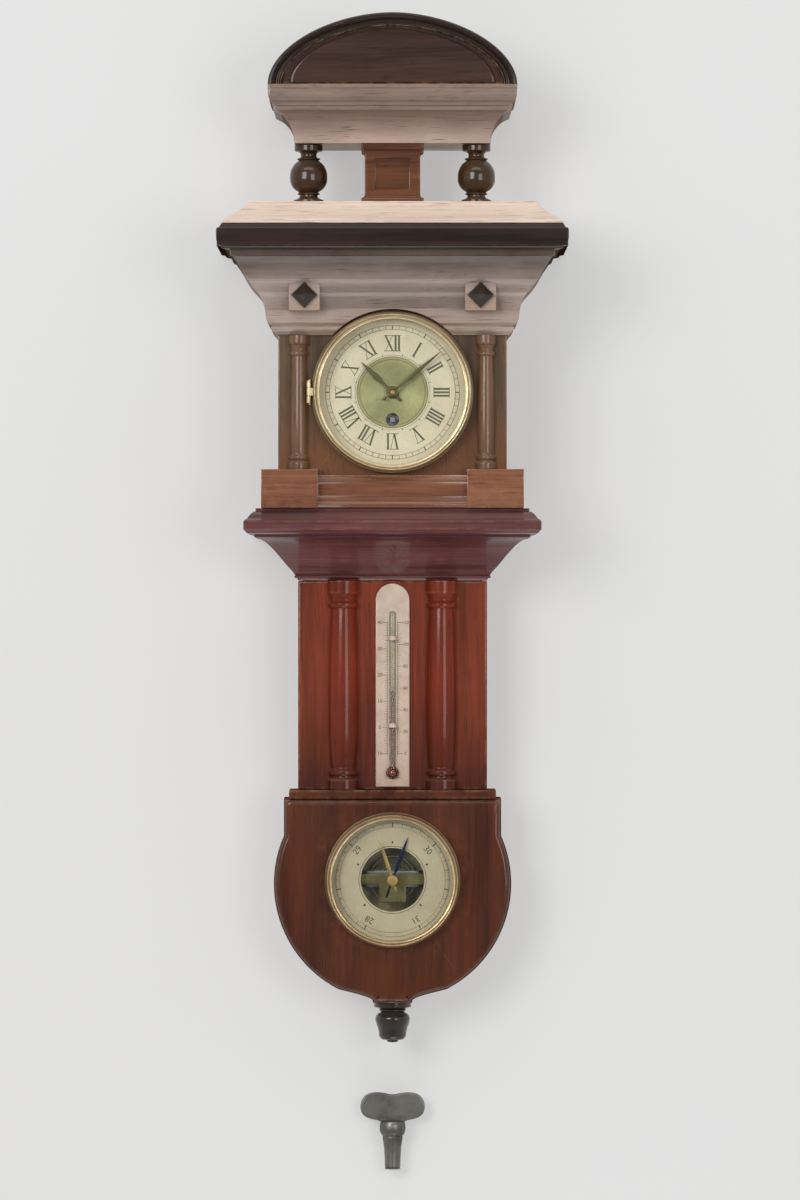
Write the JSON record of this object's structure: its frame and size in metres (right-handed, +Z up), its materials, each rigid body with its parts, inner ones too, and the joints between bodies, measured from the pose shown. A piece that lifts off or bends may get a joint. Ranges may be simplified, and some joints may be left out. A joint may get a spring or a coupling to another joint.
{
  "type": "barometer clock",
  "caption": "Wall clock in a carved wooden case with an arched hood, with a thermometer and a round aneroid barometer under the dial, and a loose winding key.",
  "frame": {"origin": "the hole of the hanger plate, in the plane of the wall", "axes": "+Z up, +Y into the wall, so the front of the clock faces -Y; +X to the right as seen from the front"},
  "size_m": [0.251, 0.1411, 0.8369],
  "materials": {
    "mahogany": "polished red-brown wood",
    "red_wood": "polished lighter red-brown wood",
    "dark_wood": "dark stained and polished wood",
    "pale_wood": "pale polished wood",
    "back_wood": "plain stained wood",
    "ebonised": "ebonised wood, satin",
    "brass": "aged polished brass",
    "gilt": "dull gilt",
    "steel": "dull grey steel",
    "blued_steel": "blued steel",
    "silvered_metal": "silvered brass, satin",
    "ivory_card": "ivory enamelled face",
    "glass": "clear"
  },
  "bodies": {
    "case": {"aneroid_capsule": "silvered_metal", "back_board": "back_wood", "barometer_bezel": "brass", "barometer_bridge": "brass", "barometer_dial": "ivory_card", "barometer_glass": "glass", "barometer_housing": "mahogany", "barometer_pan": "brass", "bezel_hinge": "brass", "box_column_left": "mahogany", "box_column_right": "mahogany", "box_shell": "mahogany", "capsule_spring": "steel", "chapter_ring": "ivory_card", "cornice_slope": "pale_wood", "dial_centre": "gilt", "dial_pan": "brass", "diamond_boss_left": "ebonised", "diamond_boss_right": "ebonised", "front_board": "mahogany", "gallery_block": "red_wood", "gallery_column_left": "dark_wood", "gallery_column_right": "dark_wood", "hanger_plate": "brass", "hanger_screw_left": "steel", "hanger_screw_right": "steel", "hood_cornice": "dark_wood", "lower_cornice": "dark_wood", "movement_back_plate": "brass", "movement_front_plate": "brass", "pediment_arch": "dark_wood", "pediment_panel": "mahogany", "pendant_finial": "ebonised", "plinth": "red_wood", "thermometer_plate": "silvered_metal", "thermometer_tube": "glass", "trunk_case": "mahogany", "trunk_column_left": "red_wood", "trunk_column_right": "red_wood", "upper_cornice": "dark_wood"},
    "bezel_door": {"clock_bezel": "brass", "clock_glass": "glass"},
    "minute": {"centre_wheel": "brass", "minute_hand": "blued_steel"},
    "barrel": {"spring_barrel": "brass", "mainspring": "steel"},
    "third": {"third_wheel": "brass"},
    "fourth": {"fourth_wheel": "brass"},
    "escape": {"escape_wheel": "steel"},
    "lever": {"pallet_lever": "steel"},
    "balance": {"balance_wheel": "brass"},
    "motion": {"minute_wheel": "brass"},
    "hour": {"hour_wheel": "brass", "hour_hand": "blued_steel"},
    "winding": {"winding_arbor": "steel"},
    "click_body": {"click": "steel"},
    "capsule_arm": {"capsule_lever": "steel"},
    "pressure_hand": {"barometer_hand": "blued_steel"},
    "set_pointer": {"set_hand": "brass"},
    "key": {"winding_key": "steel"}
  },
  "joints": [
    {"name": "bezel_door_hinge", "type": "hinge", "parent": "case", "child": "bezel_door", "pos_m": [-0.0599, -0.1087, -0.067], "axis": [0, 0, -1], "range_deg": [0, 100]},
    {"name": "minute_turn", "type": "hinge", "parent": "case", "child": "minute", "pos_m": [0, -0.065, -0.067], "axis": [0, 1, 0], "continuous": true},
    {"name": "barrel_turn", "type": "hinge", "parent": "case", "child": "barrel", "pos_m": [0, -0.0798, -0.0866], "axis": [0, 1, 0], "continuous": true},
    {"name": "third_turn", "type": "hinge", "parent": "case", "child": "third", "pos_m": [-0.00697, -0.07, -0.05705], "axis": [0, 1, 0], "continuous": true},
    {"name": "fourth_turn", "type": "hinge", "parent": "case", "child": "fourth", "pos_m": [-0.00161, -0.0745, -0.04777], "axis": [0, 1, 0], "continuous": true},
    {"name": "escape_turn", "type": "hinge", "parent": "case", "child": "escape", "pos_m": [0.00865, -0.0788, -0.04777], "axis": [0, 1, 0], "continuous": true},
    {"name": "lever_rock", "type": "hinge", "parent": "case", "child": "lever", "pos_m": [0.01654, -0.0788, -0.0449], "axis": [0, 1, 0], "range_deg": [-6, 6]},
    {"name": "balance_swing", "type": "hinge", "parent": "case", "child": "balance", "pos_m": [0.02204, -0.0705, -0.05443], "axis": [0, 1, 0], "range_deg": [-220, 220]},
    {"name": "minute_wheel_turn", "type": "hinge", "parent": "case", "child": "motion", "pos_m": [-0.01, -0.0865, -0.067], "axis": [0, 1, 0], "continuous": true},
    {"name": "hour_turn", "type": "hinge", "parent": "case", "child": "hour", "pos_m": [0, -0.0885, -0.067], "axis": [0, 1, 0], "continuous": true},
    {"name": "winding_turn", "type": "hinge", "parent": "case", "child": "winding", "pos_m": [0, -0.086, -0.0866], "axis": [0, 1, 0], "continuous": true},
    {"name": "click_lift", "type": "hinge", "parent": "case", "child": "click_body", "pos_m": [0.00942, -0.086, -0.08], "axis": [0, 1, 0], "range_deg": [0, 12]},
    {"name": "capsule_lever_rock", "type": "hinge", "parent": "case", "child": "capsule_arm", "pos_m": [0, -0.04425, -0.4324], "axis": [1, 0, 0], "range_deg": [-4, 4]},
    {"name": "barometer_hand_turn", "type": "hinge", "parent": "case", "child": "pressure_hand", "pos_m": [0, -0.0606, -0.4184], "axis": [0, 1, 0], "range_deg": [-150, 150]},
    {"name": "set_hand_turn", "type": "hinge", "parent": "case", "child": "set_pointer", "pos_m": [0, -0.0629, -0.4184], "axis": [0, 1, 0], "continuous": true},
    {"name": "key_lift_off", "type": "slide", "parent": "case", "child": "key", "axis": [0, -1, 0], "range_m": [0, 0.1]}
  ],
  "couplings": [
    {"joint": "barrel_turn", "follows": "minute_turn", "ratio": -0.16667},
    {"joint": "third_turn", "follows": "minute_turn", "ratio": -8},
    {"joint": "fourth_turn", "follows": "minute_turn", "ratio": 60},
    {"joint": "escape_turn", "follows": "minute_turn", "ratio": -480},
    {"joint": "minute_wheel_turn", "follows": "minute_turn", "ratio": -0.33333},
    {"joint": "hour_turn", "follows": "minute_turn", "ratio": 0.083333},
    {"joint": "barometer_hand_turn", "follows": "capsule_lever_rock", "ratio": 37.5}
  ]
}
